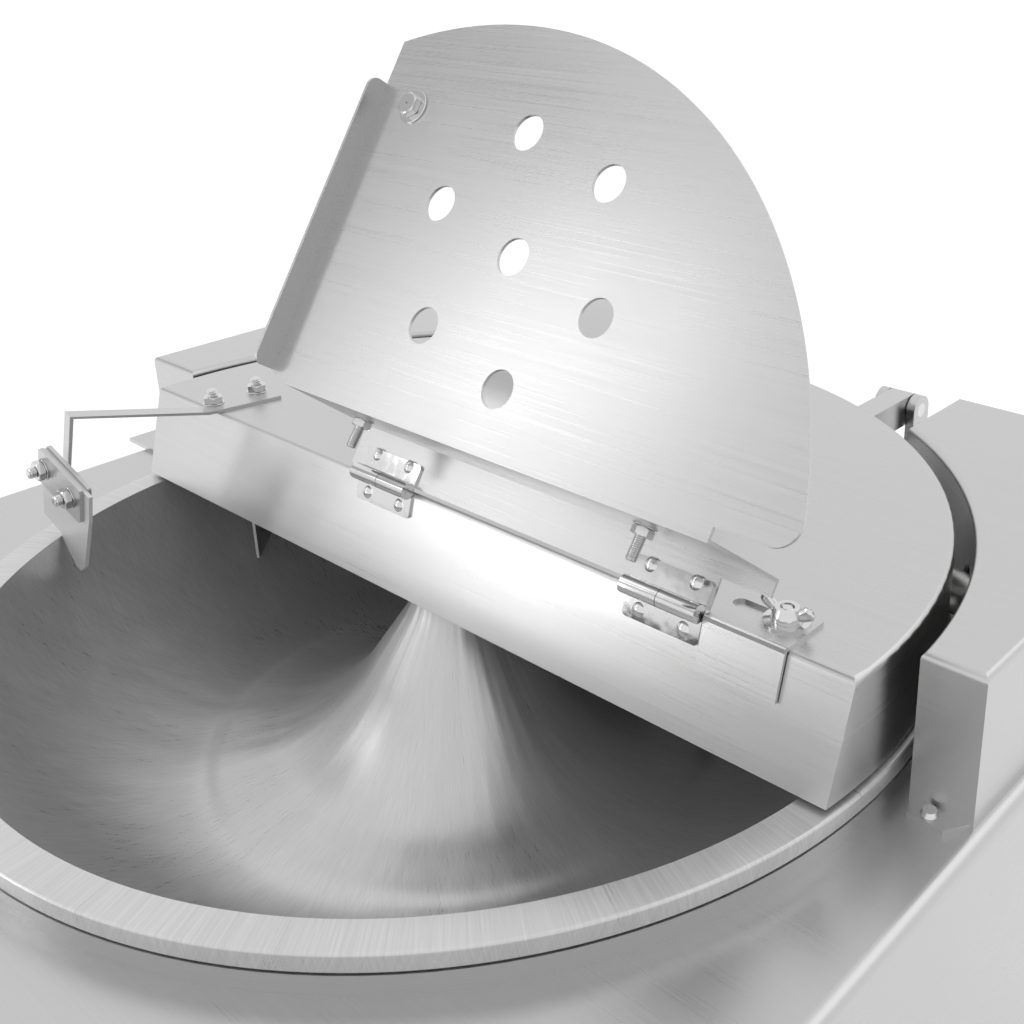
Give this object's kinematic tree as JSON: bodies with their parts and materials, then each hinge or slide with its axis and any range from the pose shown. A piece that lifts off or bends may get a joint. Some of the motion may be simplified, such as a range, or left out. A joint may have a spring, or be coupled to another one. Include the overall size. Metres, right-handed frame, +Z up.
{
  "type": "bowl cutter",
  "caption": "Tabletop bowl cutter for meat: turning steel bowl with a central cone, knives under a half-round cover, folding guard flap with vent holes, square steel cabinet.",
  "frame": {"origin": "middle of the whole machine's outline on the table, under its feet", "axes": "+X to the drive side, where the knife shaft leaves the bowl; +Y to the back, where the cover is hinged; +Z up"},
  "size_m": [0.587, 0.543, 0.57],
  "materials": {
    "sheet_steel": "brushed",
    "bowl_steel": "satin, turned",
    "hinge_steel": "polished",
    "fastener_steel": "bright",
    "scraper_plate": "satin",
    "knife_steel": "ground",
    "machined_steel": "machined",
    "cast_aluminium": "cast",
    "motor_paint": "satin",
    "foot_rubber": "matte",
    "belt_rubber": "matte",
    "black_plastic": "matte",
    "start_green": "gloss",
    "stop_red": "gloss"
  },
  "bodies": {
    "cabinet": {"cabinet_shell": "sheet_steel", "deck_panel": "sheet_steel", "base_plate": "sheet_steel", "feet": "foot_rubber", "bowl_collar": "sheet_steel", "bridge_channel": "machined_steel", "spindle_housing": "cast_aluminium", "spindle_bearings": "machined_steel", "bowl_gearmotor": "motor_paint", "motor_frame": "motor_paint", "motor_cowl": "motor_paint", "motor_bracket": "machined_steel", "shaft_pedestal": "cast_aluminium", "knife_bearings": "machined_steel", "knife_seal": "foot_rubber", "right_housing": "sheet_steel", "left_housing": "sheet_steel", "housing_screws": "fastener_steel", "hinge_brackets": "scraper_plate", "v_belt": "belt_rubber", "button_bezels": "black_plastic", "control_box": "black_plastic", "cable_gland": "black_plastic"},
    "bowl": {"bowl": "bowl_steel", "drive_plate": "cast_aluminium", "bowl_spindle": "machined_steel", "bowl_gear": "machined_steel", "bowl_nut": "bowl_steel"},
    "pinion": {"drive_pinion": "machined_steel"},
    "knife_rotor": {"knife_shaft": "machined_steel", "knife_1": "knife_steel", "knife_2": "knife_steel", "knife_spacer": "knife_steel", "knife_nut": "fastener_steel", "knife_pulley": "machined_steel"},
    "motor_rotor": {"motor_shaft": "machined_steel", "motor_pulley": "machined_steel", "motor_fan": "black_plastic"},
    "cover": {"knife_cover": "sheet_steel", "knife_dome": "sheet_steel", "back_pins": "hinge_steel", "hinge_lower_leaves": "hinge_steel", "hinge_pins": "hinge_steel", "lower_rivets": "hinge_steel", "wing_stud": "fastener_steel", "wing_washer": "fastener_steel", "scraper_arm": "sheet_steel", "scraper_bolts": "fastener_steel", "clamp_plates": "scraper_plate", "scraper_blade": "scraper_plate", "inner_scraper": "sheet_steel"},
    "flap": {"guard_flap": "sheet_steel", "hinge_upper_leaves": "hinge_steel", "upper_rivets": "hinge_steel", "flap_bolt": "fastener_steel", "flap_studs": "fastener_steel"},
    "bracket": {"stop_bracket": "sheet_steel"},
    "wing": {"wing_nut": "fastener_steel"},
    "start": {"start_button": "start_green"},
    "stop": {"stop_button": "stop_red"}
  },
  "joints": [
    {"name": "bowl_spin", "type": "hinge", "parent": "cabinet", "child": "bowl", "pos_m": [0.026, -0.0025, 0.32], "axis": [0, 0, 1], "continuous": true},
    {"name": "pinion_spin", "type": "hinge", "parent": "cabinet", "child": "pinion", "pos_m": [-0.049, -0.0025, 0.13], "axis": [0, 0, 1], "continuous": true},
    {"name": "knife_spin", "type": "hinge", "parent": "cabinet", "child": "knife_rotor", "pos_m": [0.026, 0.1195, 0.332], "axis": [1, 0, 0], "continuous": true},
    {"name": "motor_spin", "type": "hinge", "parent": "cabinet", "child": "motor_rotor", "pos_m": [0.026, 0.1195, 0.14], "axis": [1, 0, 0], "continuous": true},
    {"name": "cover_opening", "type": "hinge", "parent": "cabinet", "child": "cover", "pos_m": [0.026, 0.2405, 0.36], "axis": [-1, 0, 0], "range_deg": [0, 80]},
    {"name": "flap_fold", "type": "hinge", "parent": "cover", "child": "flap", "pos_m": [0.026, -0.02, 0.371], "axis": [1, 0, 0], "range_deg": [0, 124]},
    {"name": "bracket_slide", "type": "slide", "parent": "cover", "child": "bracket", "axis": [1, 0, 0], "range_m": [0, 0.02]},
    {"name": "wing_nut_turn", "type": "hinge", "parent": "cover", "child": "wing", "pos_m": [0.2136, -0.0019, 0.375], "axis": [0, 0, 1], "range_deg": [0, 360]},
    {"name": "start_press", "type": "slide", "parent": "cabinet", "child": "start", "axis": [0, 1, 0], "range_m": [0, 0.004], "stiffness_N_per_m": 400, "springref_m": -0.002},
    {"name": "stop_press", "type": "slide", "parent": "cabinet", "child": "stop", "axis": [0, 1, 0], "range_m": [0, 0.004], "stiffness_N_per_m": 400, "springref_m": -0.002}
  ],
  "couplings": [
    {"joint": "pinion_spin", "follows": "bowl_spin", "ratio": -4},
    {"joint": "motor_spin", "follows": "knife_spin", "ratio": 0.72414}
  ]
}
